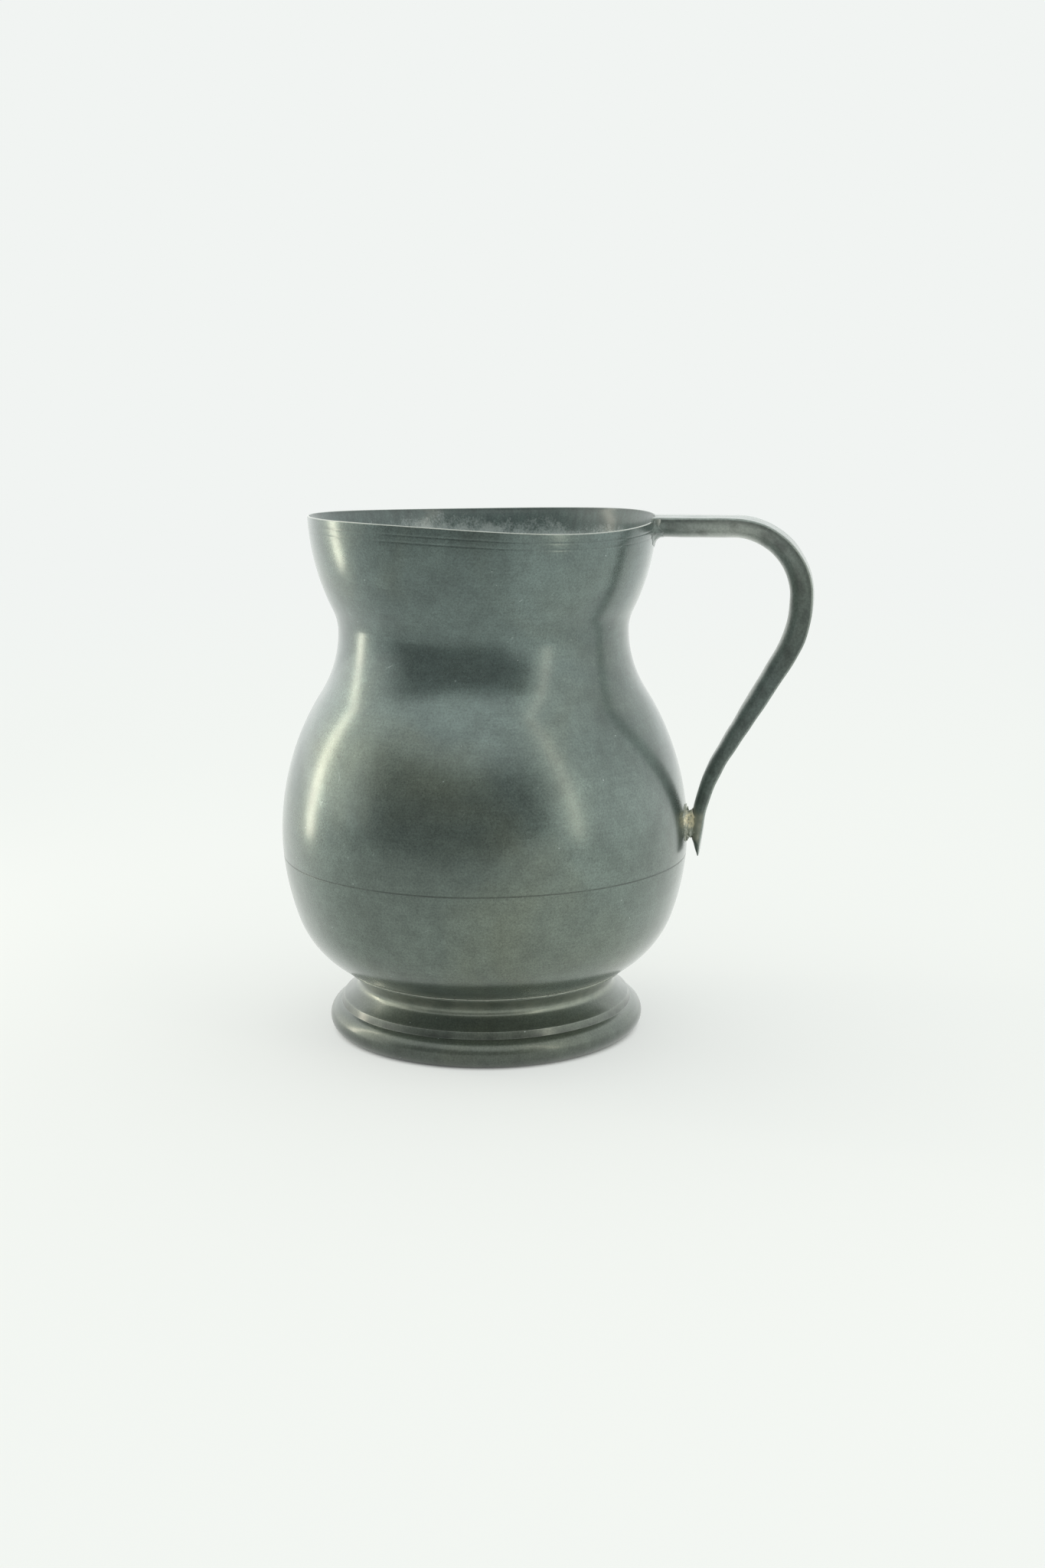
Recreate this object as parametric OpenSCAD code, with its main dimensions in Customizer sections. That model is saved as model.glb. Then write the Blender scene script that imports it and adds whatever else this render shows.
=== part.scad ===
// Bellied pewter jug: two cast body halves, a moulded foot, a let-in floor and a strap handle.
// The handle points along +X, the axis is Z and the foot stands on z = 0. Sizes are in millimetres.

/* [Body] */
// Height of the rim above the table
jug_h = 178; // [172:1:184]
// Outside diameter of the rim
rim_d = 119; // [115:1:123]
// Outside diameter of the neck where it is narrowest
neck_d = 99.4; // [96:0.2:103]
// Height of the narrowest part of the neck
neck_z = 141; // [138:1:144]
// Outside diameter of the belly where it is widest
belly_d = 140.8; // [138:0.2:145]
// Height of the widest part of the belly
belly_z = 70.5; // [69:0.5:74]
// Height of the seam between the two castings
seam_z = 63.4; // [60:0.2:66]
// Thickness of the cast walls
wall = 1.6; // [1.4:0.1:2]

/* [Curves] */
// Share of the sweep from belly to neck that bulges outward
shoulder_share = 0.69; // [0.6:0.01:0.8]
// Share of the sweep from neck to rim that hollows inward
flare_share = 0.24; // [0.18:0.01:0.5]
// Share of the plain turn from belly to foot that the bowl's side makes before it tightens
bowl_side_share = 0.394; // [0.34:0.002:0.44]
// Angle that the bowl's side has turned through where it meets the foot, in degrees
bowl_end = 63.5; // [59:0.5:68]

/* [Foot] */
// Diameter of the foot at its rounded edge
foot_d = 110.2; // [108:0.2:113]
// Radius of the rounded edge
roll_r = 4.9; // [4.4:0.1:5.4]
// Height of the small step above the rounded edge
step_h = 1.5; // [1:0.1:2]
// Radius of the hollow moulding in its lower half
cove_r = 5.5; // [5.1:0.1:5.9]
// Radius of the hollow moulding in its upper half
cove_top_r = 4.6; // [4.2:0.1:5]
// Thickness of the foot at its narrowest
foot_wall = 2.2; // [1.8:0.1:2.6]
// Width of the flat ring that stands on the table
rest_w = 3; // [2:0.1:4]

/* [Handle] */
// Width of the handle at the rim
handle_top_w = 16; // [13:0.5:18]
// Width of the handle at its tail
handle_tail_w = 11.6; // [9:0.2:13]
// Thickness of the handle at the rim
handle_root_t = 7; // [6:0.1:8]
// Thickness of the handle at its bend, where it is thickest
handle_bend_t = 8.1; // [7:0.1:9]
// Thickness of the handle where its tail begins
handle_tail_t = 4.2; // [3.6:0.1:4.8]
// Radius of the bend at the top
top_bend_r = 26.6; // [23:0.2:30]
// Radius of the bend at the back
back_bend_r = 42; // [36:1:48]
// Lean of the long straight from the vertical, in degrees
lean = 32.3; // [29:0.1:35]
// Radius of the bend above the tail
tail_bend_r = 66; // [58:1:74]
// Turn of the bend above the tail, in degrees
tail_turn = 24.6; // [22:0.2:27]
// Height of the handle above the rim
handle_rise = 1.6; // [0.6:0.1:2.4]
// Distance from the belly to the outer face of the tail's tip
tail_gap = 4.6; // [4.2:0.1:6]

/* [Joints] */
// Height of the lap between the two castings
lap_h = 3; // [2:0.5:4]
// Width of the soldered line at the seam
seam_w = 0.8; // [0.6:0.1:1.2]
// Thickness of the solder under the bowl
solder_t = 0.4; // [0.3:0.05:0.6]
// Thickness of the floor disc
floor_t = 2; // [1.6:0.1:2.6]
// Width of the strut behind the tail
strut_w = 9; // [7:0.5:10.5]
// Height of the strut behind the tail
strut_h = 12.5; // [11.5:0.5:15]

/* [Hidden] */
$fn = 96;

// Angle between the points of a round stretch, in degrees
arc_step = 4;
// Width of the square that a profile is cut with, wider than any part of the jug
sheet_w = 200;
// Colours of clean pewter, of the darker castings and of solder
pewter = "#8d8f8a";
pewter_dark = "#7b7d78";
solder_grey = "#a9a89c";

// Radii of the main stations
rim_r = rim_d / 2;
neck_r = neck_d / 2;
belly_r = belly_d / 2;
lip_r = wall / 2;
// Height at which the wall ends and the rounded lip begins
rim_z = jug_h - lip_r;
// The two lines cut round the outside below the rim
line_drops = [3, 5.2];
line_r = 0.45;
// Depth of the solder below the outside at the seam
seam_recess = 0.25;
// Leg of the solder fillet under the floor disc
floor_fillet = 1.8;

// Foot profile: a rounded edge, a step and a hollow, from the table up
roll_c = [foot_d / 2 - roll_r, roll_r];
// Angle at which the rounded edge ends at the step, and how far the step's top lies inside its middle
roll_end = 82;
step_in = 0.5;
step_top = [roll_c.x - step_in, 2 * roll_r + step_h];
cove_c = [step_top.x, step_top.y + cove_r];
waist_r = cove_c.x - cove_r;
cove_top_c = [waist_r + cove_top_r, cove_c.y];
// Angle at which the hollow ends under the flange, and the flange's overhang and height
cove_end = 95;
flange_out = 0.3;
flange_h = 1.6;
flange_low = [cove_top_c.x + flange_out, cove_top_c.y + cove_top_r];
// Point where the bowl meets the flange at the top of the foot
collar = flange_low + [0, flange_h];
// Inside of the foot, which widens a little towards the table
waist_in_r = waist_r - foot_wall;
foot_in_r = roll_c.x - rest_w;
foot_draft = 1;
waist_drop = 2;
// Width of the ledge on the foot that carries the floor, and the radius of the hole in the bowl
ledge_w = 2.6;
hole_r = waist_in_r + ledge_w;

// Sweep between two vertical stations by two tangent arcs: [turn, first radius, second radius]
function sweep_arcs(dr, dz, share) =
    let (turn = 2 * atan(dr / dz), both = dz / sin(turn))
    [turn, share * both, (1 - share) * both];

shoulder = sweep_arcs(belly_r - neck_r, neck_z - belly_z, shoulder_share);
flare = sweep_arcs(rim_r - neck_r, rim_z - neck_z, flare_share);

// Bowl: a wide arc down from the belly and a tighter one to the collar. Their radii follow from how far the
// bowl draws in and drops between the two.
bowl_in = belly_r - collar.x;
bowl_drop = belly_z - collar.y;
bowl_turn = bowl_side_share * 2 * atan(bowl_in / bowl_drop);
side_in = 1 - cos(bowl_turn);
side_down = sin(bowl_turn);
turn_in = cos(bowl_turn) - cos(bowl_end);
turn_down = sin(bowl_end) - sin(bowl_turn);
radii_both = side_down * turn_in - side_in * turn_down;
bowl_side_r = (bowl_drop * turn_in - bowl_in * turn_down) / radii_both;
bowl_turn_r = (bowl_in * side_down - bowl_drop * side_in) / radii_both;
side_c = [belly_r - bowl_side_r, belly_z];
turn_c = side_c + (bowl_side_r - bowl_turn_r) * [cos(bowl_turn), -sin(bowl_turn)];

// Points of an arc about c from angle a0 to a1
function arc(c, r, a0, a1, step = arc_step) =
    let (n = ceil(abs(a1 - a0) / step))
    [for (i = [0:n]) let (a = a0 + (a1 - a0) * i / n) c + r * [cos(a), sin(a)]];
function reverse(list) = [for (i = [len(list) - 1:-1:0]) list[i]];
function last(list) = list[len(list) - 1];

// Profile of the body from the hole in the bowl up to the lip, set in by t from the outside
function bowl_curve(t) = concat(
    arc(turn_c, bowl_turn_r - t, -acos((hole_r - turn_c.x) / (bowl_turn_r - t)), -bowl_turn),
    arc(side_c, bowl_side_r - t, -bowl_turn, 0));
function neck_curve(t) = concat(
    arc([belly_r - shoulder[1], belly_z], shoulder[1] - t, 0, shoulder[0]),
    arc([neck_r + shoulder[2], neck_z], shoulder[2] + t, 180 + shoulder[0], 180),
    arc([neck_r + flare[1], neck_z], flare[1] + t, 180, 180 - flare[0]),
    arc([rim_r - flare[2], rim_z], flare[2] - t, -flare[0], 0));
function body_curve(t) = concat(bowl_curve(t), neck_curve(t));

// Height of the underside of the floor disc
disc_low = bowl_curve(0)[0].y - solder_t;

// Lengths along the handle. The tail ends beside the belly, and the straights take up the rest.
tail_l = 8.5;
tail_drop = 6.4;
over_l = top_bend_r * PI / 2;
back_l = back_bend_r * lean * PI / 180;
turn_l = tail_bend_r * tail_turn * PI / 180;
handle_z = jug_h + handle_rise;
tail_lean = lean - tail_turn;
bends_drop = top_bend_r + back_bend_r * sin(lean) + tail_bend_r * (sin(lean) - sin(tail_lean))
    + tail_l * cos(tail_lean);
run_l = (handle_z - belly_z + tail_drop - bends_drop) / cos(lean);
bends_reach = top_bend_r - back_bend_r * (1 - cos(lean)) - run_l * sin(lean)
    + tail_bend_r * (cos(lean) - cos(tail_lean)) - tail_l * sin(tail_lean);
reach_l = belly_r + tail_gap - rim_r - bends_reach;
// How far the bar starts inside the rim, before it is cut to the wall
root_in = 4;
// Thickness of the bar at lengths along it. The inner side of the tail is cut away to a thin tip.
back_t = 7.6;
run_t = 5.6;
tip_t = 0.5;
back_end = reach_l + over_l + back_l;
tail_start = back_end + run_l + turn_l;
bar_l = tail_start + tail_l;
bar_t = [[0, handle_root_t], [reach_l, handle_root_t], [reach_l + over_l, handle_bend_t], [back_end, back_t],
         [back_end + run_l, run_t], [tail_start, handle_tail_t], [bar_l, tip_t]];
// Step between the points of the bar's half-round section, in degrees
section_step = 12;

// Strut and the solder round it
strut_rise = 4.2;
strut_z = belly_z + strut_rise;
strut_in = 5;
strut_spread = 2.6;
strut_solder_t = 1.1;
// Solder round the root of the handle: how far it stands off the bar, runs along it and lies below its top
root_solder_t = 1.7;
root_solder_l = 3.4;
root_solder_drop = 0.3;
// Stations [distance from the wall, share of its thickness] along that solder
root_solder_grow = [[-root_in, 1], [0, 1], [0.35 * root_solder_l, 0.4], [root_solder_l, 0.1]];

// Stations [x, z, heading, length from the wall] along the handle's outer face
function straight(p, l, n) = [for (i = [1:n]) let (d = l * i / n)
    [p[0] + d * cos(p[2]), p[1] + d * sin(p[2]), p[2], p[3] + d]];
function bend(p, r, turn, n) =
    let (k = sign(turn) * r, c = [p[0] - k * sin(p[2]), p[1] + k * cos(p[2])])
    [for (i = [1:n]) let (a = turn * i / n, h = p[2] + a)
        [c.x + k * sin(h), c.y - k * cos(h), h, p[3] + r * abs(a) * PI / 180]];

handle_start = [[rim_r - root_in, handle_z, 0, -root_in]];
handle_top = straight(handle_start[0], reach_l + root_in, 6);
handle_over = bend(last(handle_top), top_bend_r, -90, 12);
handle_back = bend(last(handle_over), back_bend_r, -lean, 5);
handle_run = straight(last(handle_back), run_l, 6);
handle_turn = bend(last(handle_run), tail_bend_r, tail_turn, 6);
handle_tail = straight(last(handle_turn), tail_l, 4);
handle_path = concat(handle_start, handle_top, handle_over, handle_back, handle_run, handle_turn,
                     handle_tail);

// Half-round ring of width w and thickness t at one station, flat on its outer face
function ring(p, w, t) = [for (a = [0:section_step:180])
    [p[0] + t * sin(a) * sin(p[2]), w / 2 * cos(a), p[1] - t * sin(a) * cos(p[2])]];

// Closed solid through a list of rings that have the same number of points
module loft(rings) {
    m = len(rings[0]);
    n = len(rings);
    points = [for (one = rings, p = one) p];
    sides = [for (i = [0:n - 2], j = [0:m - 1])
        [i * m + j, i * m + (j + 1) % m, (i + 1) * m + (j + 1) % m, (i + 1) * m + j]];
    caps = [[for (j = [m - 1:-1:0]) j], [for (j = [0:m - 1]) (n - 1) * m + j]];
    polyhedron(points, concat(sides, caps));
}

// Part of a profile between two heights
module band(low, high) {
    intersection() {
        children();
        translate([0, low]) square([sheet_w, high - low]);
    }
}

// Wall between two depths below the outside
module wall_profile(outside, inside) {
    polygon(concat(body_curve(outside), reverse(body_curve(inside))));
}

// Solid jug without a hollow, grown by t, with its neck carried up past the handle
module jug_solid(t) {
    top = handle_z + root_in;
    rotate_extrude($fn = 360) polygon(concat([[0, disc_low], [hole_r, disc_low]], body_curve(-t),
                                             [[rim_r + t, top], [0, top]]));
}

// The bar before it is cut to the wall
module bar() {
    loft([for (p = handle_path)
        ring(p, handle_top_w + (handle_tail_w - handle_top_w) * p[3] / bar_l, lookup(p[3], bar_t))]);
}

// Flat plate with round ends, standing up behind the tail and pointing along X
module strut_plate(w, h) {
    end_z = (h - w) / 2;
    translate([belly_r - strut_in, 0, strut_z]) rotate([90, 0, 90]) linear_extrude(strut_in + tail_gap) {
        square([w, h - w], center = true);
        for (z = [-end_z, end_z]) translate([0, z]) circle(d = w);
    }
}

module upper_body() {
    color(pewter) rotate_extrude() difference() {
        union() {
            band(seam_z + lap_h, jug_h) wall_profile(0, wall);
            band(seam_z + seam_w / 2, seam_z + lap_h) wall_profile(0, wall / 2);
            polygon(arc([rim_r - lip_r, rim_z], lip_r, 0, 180, 20));
        }
        for (drop = line_drops) translate([rim_r, jug_h - drop]) circle(line_r, $fn = 24);
    }
}

module lower_body() {
    color(pewter) rotate_extrude() {
        band(0, seam_z - seam_w / 2) wall_profile(0, wall);
        band(0, seam_z + lap_h) wall_profile(wall / 2, wall);
    }
}

module belly_seam_solder() {
    color(pewter_dark) rotate_extrude()
        band(seam_z - seam_w / 2, seam_z + seam_w / 2) wall_profile(seam_recess, wall / 2);
}

module base_disc() {
    color(pewter_dark) translate([0, 0, disc_low]) cylinder(r = hole_r, h = floor_t);
}

module foot_ring() {
    color(pewter) difference() {
        rotate_extrude() polygon(concat(
            [[foot_in_r, 0]],
            arc(roll_c, roll_r, -90, roll_end, 10),
            arc(cove_c, cove_r, 270, 180, 10),
            arc(cove_top_c, cove_top_r, 180, cove_end, 10),
            [flange_low, [flange_low.x, belly_z], [waist_in_r, belly_z]],
            [[waist_in_r, cove_c.y - waist_drop], [foot_in_r - foot_draft, 2 * roll_r]]));
        jug_solid(solder_t);
    }
}

module foot_solder() {
    color(solder_grey) rotate_extrude() intersection() {
        wall_profile(-solder_t, 0);
        translate([hole_r, 0]) square([collar.x - hole_r, belly_z]);
    }
}

module base_disc_solder() {
    color(solder_grey) rotate_extrude()
        translate([waist_in_r, disc_low]) polygon([[0, 0], [-floor_fillet, 0], [0, -floor_fillet]]);
}

module handle() {
    color(pewter) difference() {
        bar();
        jug_solid(0);
    }
}

module handle_strut() {
    color(solder_grey) difference() {
        strut_plate(strut_w, strut_h);
        jug_solid(0);
        bar();
    }
}

module strut_solder() {
    color(solder_grey) difference() {
        intersection() {
            strut_plate(strut_w + 2 * strut_spread, strut_h + 2 * strut_spread);
            jug_solid(strut_solder_t);
        }
        jug_solid(0);
        strut_plate(strut_w, strut_h);
        bar();
    }
}

module rim_solder() {
    color(solder_grey) difference() {
        loft([for (g = root_solder_grow) let (extra = g[1] * root_solder_t)
            ring([rim_r + g[0], handle_z - root_solder_drop, 0],
                 handle_top_w + 2 * extra, handle_root_t + extra)]);
        jug_solid(0);
        bar();
    }
}

upper_body();
lower_body();
base_disc();
foot_ring();
handle();
handle_strut();
rim_solder();
strut_solder();
belly_seam_solder();
foot_solder();
base_disc_solder();
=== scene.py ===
"""Looks of a bellied pewter jug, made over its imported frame.

The handle points along +X, the axis of the body is Z and the foot stands on z = 0. Lengths are in metres.
"""

import math

import bpy
import numpy as np
from mathutils import Matrix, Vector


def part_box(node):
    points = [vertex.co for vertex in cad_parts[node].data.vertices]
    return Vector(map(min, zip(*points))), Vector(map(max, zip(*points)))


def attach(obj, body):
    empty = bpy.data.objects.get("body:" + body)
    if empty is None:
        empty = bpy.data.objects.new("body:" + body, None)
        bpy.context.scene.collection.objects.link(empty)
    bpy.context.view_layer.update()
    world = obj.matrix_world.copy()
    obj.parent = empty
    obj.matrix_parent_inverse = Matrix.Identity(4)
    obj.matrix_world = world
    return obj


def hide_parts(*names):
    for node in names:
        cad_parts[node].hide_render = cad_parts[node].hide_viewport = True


bl_info = {
    "name": "Bellied pewter jug",
    "version": (1, 0, 0),
    "blender": (4, 5, 0),
    "location": "View3D > Sidebar > Jug",
    "description": "Makes the castings, handle, solder and finish of a bellied pewter jug",
    "category": "Add Mesh",
}

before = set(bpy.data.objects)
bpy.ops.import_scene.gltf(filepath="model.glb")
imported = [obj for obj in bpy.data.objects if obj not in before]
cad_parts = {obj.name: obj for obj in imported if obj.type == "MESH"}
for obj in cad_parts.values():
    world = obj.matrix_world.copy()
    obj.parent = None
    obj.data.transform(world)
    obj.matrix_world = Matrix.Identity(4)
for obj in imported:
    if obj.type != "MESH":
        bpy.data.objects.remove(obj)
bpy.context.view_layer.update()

MM = 0.001
BODY = "root"
UPPER, FOOT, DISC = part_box("upper_body"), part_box("foot_ring"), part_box("base_disc")
SEAM, HANDLE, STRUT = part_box("belly_seam_solder"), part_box("handle"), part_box("handle_strut")

# Steps round the axis, and points in each arc of a profile before it is spaced out evenly
TURN_STEPS = 224
ARC_POINTS = 240
# Distance from a sharp edge of the extra row of points that keeps smooth shading true beside it
EDGE_ROW = 0.05 * MM
# Points across a fillet's hollow, round the strut, round its solder and round the handle's root
FILLET_POINTS, STRUT_POINTS, CRUST_POINTS, ROOT_POINTS = 9, 64, 96, 72
# Rings along the strut, and rings of the solder that wraps the bar
STRUT_RINGS, WRAP_RINGS = 22, 12
# Fine steps along the bar, the stations picked from them, and the first station that is near the tail
BAR_STEPS, BAR_STATIONS, TAIL_STATION = 2400, 220, 120
# Points round the bar: on its round side, on a quarter turn of each worn edge, and on its flat face
ROUND_POINTS, EDGE_POINTS, FLAT_POINTS = 41, 6, 13
# What a piece's points are marked with: how far inside, how worn, how dirty and how crusted each is. The wear
# mark also paints a highlight along the handle's inner side, the grime mark also paints shade, and the crust
# mark paints a highlight over the foot's upper cove
MARKS = ("inner", "wear_and_sheen", "grime_and_shade", "crust")
# Sockets of a colour mix node
MIX_A, MIX_B, MIX_OUT = 6, 7, 2


def linear(code):
    """Linear RGBA of an sRGB hex value."""
    parts = np.array([int(code[k:k + 2], 16) for k in (1, 3, 5)]) / 255
    parts = np.where(parts <= 0.04045, parts / 12.92, ((parts + 0.055) / 1.055) ** 2.4)
    return (*parts.tolist(), 1.0)


def length(name, description, metres):
    """A length property."""
    return bpy.props.FloatProperty(name=name, description=description, default=metres, unit="LENGTH",
                                   precision=5)


def lengths(name, description, metres):
    """A row of lengths."""
    return bpy.props.FloatVectorProperty(name=name, description=description, default=metres, size=len(metres),
                                         unit="LENGTH", precision=5)


def share(name, description, value):
    """A share between 0 and 1."""
    return bpy.props.FloatProperty(name=name, description=description, default=value, min=0, max=1,
                                   subtype="FACTOR")


def angle(name, description, degrees):
    """An angle property, held in radians."""
    return bpy.props.FloatProperty(name=name, description=description, default=math.radians(degrees),
                                   subtype="ANGLE")


def colour(name, description, code):
    """A colour property with its default as an sRGB hex value."""
    return bpy.props.FloatVectorProperty(name=name, description=description, default=linear(code), size=4,
                                         min=0, max=1, subtype="COLOR")


def amount(name, description, value):
    """A plain number."""
    return bpy.props.FloatProperty(name=name, description=description, default=value, min=0)


class JugBody(bpy.types.PropertyGroup):
    """Sizes of the two body castings."""

    jug_h: length("Height", "Height of the rim", UPPER[1].z)
    belly_r: length("Belly radius", "Outside radius where the belly is widest", UPPER[1].x)
    belly_z: length("Belly height", "Height of the widest part of the belly", 70.5 * MM)
    neck_r: length("Neck radius", "Outside radius where the neck is narrowest", 49.8 * MM)
    neck_z: length("Neck height", "Height of the narrowest part of the neck", 140.7 * MM)
    flare_r: length("Flare radius", "Radius at which the flare would stand upright", 59.5 * MM)
    flare_z: length("Flare height", "Height at which the flare would stand upright", 181.2 * MM)
    wall: length("Wall", "Thickness of the cast walls", 1.6 * MM)
    lip_t: length("Lip", "Thickness of the rim at its edge", 0.7 * MM)
    lip_h: length("Lip taper", "Height over which the inside thins towards the lip", 5 * MM)
    shoulder_share: share("Shoulder share", "Share of the sweep from belly to neck that bulges out", 0.693)
    flare_share: share("Flare share", "Share of the sweep from neck to rim that hollows in", 0.18)
    bowl_share: share("Bowl share", "Share of the turn to the foot that the bowl's side makes", 0.394)
    bowl_end: angle("Bowl end", "Turn of the bowl where it meets the foot", 63.5)
    seam_z: length("Seam height", "Height of the seam between the castings", (SEAM[0].z + SEAM[1].z) / 2)
    seam_w: length("Seam width", "Width of the solder that shows in the seam", 0.5 * MM)
    seam_dip: length("Seam dip", "How far the seam lies below the walls beside it", 0.015 * MM)
    lap_h: length("Lap", "Height of the lap between the castings", 3 * MM)
    line_drops: lengths("Lines", "Depths of the two cut lines below the rim", (3 * MM, 5.2 * MM))
    line_depth: length("Line depth", "Depth of the cut lines", 0.055 * MM)
    line_w: length("Line width", "Half width of the cut lines", 0.28 * MM)
    rim_lift: lengths("Rim lift", "Rise of the bent rim every 45 degrees round from the handle",
                      (0.8 * MM, 0.95 * MM, -0.55 * MM, -0.2 * MM, 1.6 * MM, 2.75 * MM, 1.75 * MM, -0.6 * MM))
    sway: length("Sway", "Size of the slow waves that hand work left in the walls", 0.09 * MM)


class JugFoot(bpy.types.PropertyGroup):
    """Sizes of the foot and the floor let into the bowl above it."""

    foot_r: length("Foot radius", "Radius of the rounded edge", FOOT[1].x)
    roll_r: length("Roll radius", "Radius of the rounded edge's own section", 4.9 * MM)
    step_h: length("Step", "Height of the step above the roll", 2.2 * MM)
    waist_r: length("Waist radius", "Radius where the foot is narrowest", 44.7 * MM)
    waist_z: length("Waist height", "Height where the foot is narrowest", 16.7 * MM)
    waist_round: length("Waist round", "Reach of the rounding at the waist", 2.6 * MM)
    cove_low: length("Lower cove", "Depth of the hollow below the waist", 0.35 * MM)
    cove_high: length("Upper cove", "Depth of the hollow above the waist", 1 * MM)
    flange_r: length("Flange radius", "Radius of the flange under the bowl", 49 * MM)
    flange_h: length("Flange height", "Height of the flange under the bowl", 0.8 * MM)
    collar_z: length("Collar height", "Height of the line between the bowl and the foot", 23 * MM)
    wall: length("Wall", "Thickness of the foot at its narrowest", 2.8 * MM)
    rest_w: length("Rest", "Width of the flat ring that stands on the table", 3 * MM)
    ledge_w: length("Ledge", "Width of the ledge that carries the floor", 2.6 * MM)
    solder_t: length("Solder", "Thickness of the solder between the bowl and the foot", 0.4 * MM)
    fillet: length("Floor fillet", "Leg of the solder fillet under the floor", 1.8 * MM)


class JugHandle(bpy.types.PropertyGroup):
    """Sizes of the handle, its strut and their solder."""

    wall_x: length("Wall", "Distance from the axis to the wall at the handle's root", 59.5 * MM)
    top_w: length("Top width", "Width of the bar at the rim", 16 * MM)
    tail_w: length("Tail width", "Width of the bar at its tail", 11.6 * MM)
    thick: lengths("Thickness", "Thickness at the root and at the end of each stretch of the bar",
                   (7 * MM, 7 * MM, 8.1 * MM, 7.6 * MM, 5.6 * MM, 4.5 * MM, 3.3 * MM, 0.5 * MM))
    bulge: length("Bulge", "Depth below the flat face at which the bar is widest", 1 * MM)
    top_bend_r: length("Top bend", "Radius of the bend at the top", 26.6 * MM)
    back_bend_r: length("Back bend", "Radius of the bend at the back", 42 * MM)
    lean: angle("Lean", "Lean of the long straight from the vertical", 32.3)
    tail_bend_r: length("Tail bend", "Radius of the bend above the tail", 66 * MM)
    tail_turn: angle("Tail turn", "Turn of the bend above the tail", 24.6)
    tail_l: length("Tail", "Length of the straight tail", 8.5 * MM)
    edge_r: length("Edge", "Radius of the worn edges of the flat face", 0.75 * MM)
    root_along: length("Root solder", "Reach of the root's solder along the bar", 3 * MM)
    root_spread: length("Root spread", "Reach of the root's solder over the wall", 2.6 * MM)
    bead_r: length("Bead", "Radius of the solder bead at the front corner of the root", 0.85 * MM)
    strut_w: length("Strut width", "Width of the strut at its waist", 7.4 * MM)
    strut_h: length("Strut height", "Height of the strut at its waist", 9.5 * MM)
    strut_drop: length("Strut drop", "How far the waist sits below the middle of the strut's plate", 0.5 * MM)
    strut_skin: length("Strut skin", "Thickness of the solder that wraps the bar", 0.45 * MM)
    strut_flare: length("Strut flare", "How far the strut spreads where it meets the belly", 1.5 * MM)
    crust: length("Crust", "Reach of the crusted solder over the belly", 2.8 * MM)


class JugFinish(bpy.types.PropertyGroup):
    """Colours of the pewter, its wear and its solder."""

    pewter: colour("Pewter", "Patinated pewter", "#657470")
    shade: colour("Shade", "Darker patches of the patina", "#566461")
    warm: colour("Warm", "Brownish patches of the patina", "#707664")
    # Worn also paints a highlight along the crown of the handle's inner side
    worn_and_sheen: colour("Worn", "Edges rubbed bright", "#a9aea6")
    # Grime is also painted shade: below the rim inside, under the handle's edges and in the foot's hollows
    grime_and_shade: colour("Grime", "Dirt in the recesses", "#2c302c")
    inside: colour("Inside", "Dull oxidised inside", "#5c6d6a")
    bloom: colour("Bloom", "Pale oxide and specks", "#c0cbc9")
    # Crust also covers the foot's upper cove and waist as a painted highlight
    crust: colour("Crust", "Old solder and dirt dried on the metal", "#9a9d8d")
    solder: colour("Solder", "Dull soft solder", "#b2b7ab")
    residue: colour("Residue", "Cream residue of flux", "#efe8cc")


class JugStage(bpy.types.PropertyGroup):
    """Light, backdrop and camera."""

    pale: colour("Pale", "Colour of the backdrop", "#f1f4f2")
    floor: colour("Floor", "Colour of the floor", "#e2e4e0")
    floor_glow: share("Floor glow", "Share of the floor's colour that the shadow doesn't reach", 0.6)
    tent: amount("Tent", "Brightness of the white tent round the jug", 1.4)
    side_glow: amount("Side glow", "Brightness that the left lamp adds to the tent's side", 0.3)
    opening: amount("Opening", "Brightness of the tent's open front", 0.25)
    left_light: amount("Left light", "Brightness of the tall lamp on the left", 4.9)
    right_light: amount("Right light", "Brightness of the tall lamp on the right", 3.0)
    lamp: colour("Lamp", "Colour of the lamps' light", "#fff6e0")
    floor_front: share("Floor front", "How dark the far floor towards the camera looks in the metal", 0.75)
    turn: angle("View turn", "Turn of the view round the axis", 8.5)
    tilt: angle("View tilt", "Tilt of the view below the horizontal", 11.635)
    roll: angle("View roll", "Roll of the view", -0.2257)
    aside: length("Camera aside", "Distance of the camera to the right of the axis", 13.174 * MM)
    back: length("Camera distance", "Distance of the camera from the axis", 743.523 * MM)
    height: length("Camera height", "Height of the camera", 239.17 * MM)


class JugSettings(bpy.types.PropertyGroup):
    """All settings of the jug."""

    body: bpy.props.PointerProperty(type=JugBody)
    foot: bpy.props.PointerProperty(type=JugFoot)
    handle: bpy.props.PointerProperty(type=JugHandle)
    finish: bpy.props.PointerProperty(type=JugFinish)
    stage: bpy.props.PointerProperty(type=JugStage)


# Lines and fields

def arc(centre, radius, start, end, count=ARC_POINTS):
    """Points centre + radius (cos a, sin a), with a running evenly from start to end in radians."""
    a = np.linspace(start, end, count)
    return np.stack([centre[0] + radius * np.cos(a), centre[1] + radius * np.sin(a)], axis=1)


def chain(*runs):
    """The runs joined end to end, without doubled points."""
    line = np.concatenate(runs)
    far = np.abs(line - np.roll(line, 1, axis=0))[:, :2].max(axis=1) > 1e-7
    return line[far]


def evenly(line, step):
    """The same line with points about a step apart, by linear steps of its length."""
    run = np.concatenate([[0], np.cumsum(np.hypot(*np.diff(line, axis=0).T))])
    at = np.linspace(0, run[-1], max(2, round(run[-1] / step) + 1))
    return np.stack([np.interp(at, run, line[:, k]) for k in (0, 1)], axis=1)


def between(line, low, high):
    """The part of a rising line between two heights, with its ends on them."""
    r, z = line.T
    ends = [[np.interp(h, z, r), h] for h in (low, high)]
    return np.vstack([ends[:1], line[(z > low) & (z < high)], ends[1:]])


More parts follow.
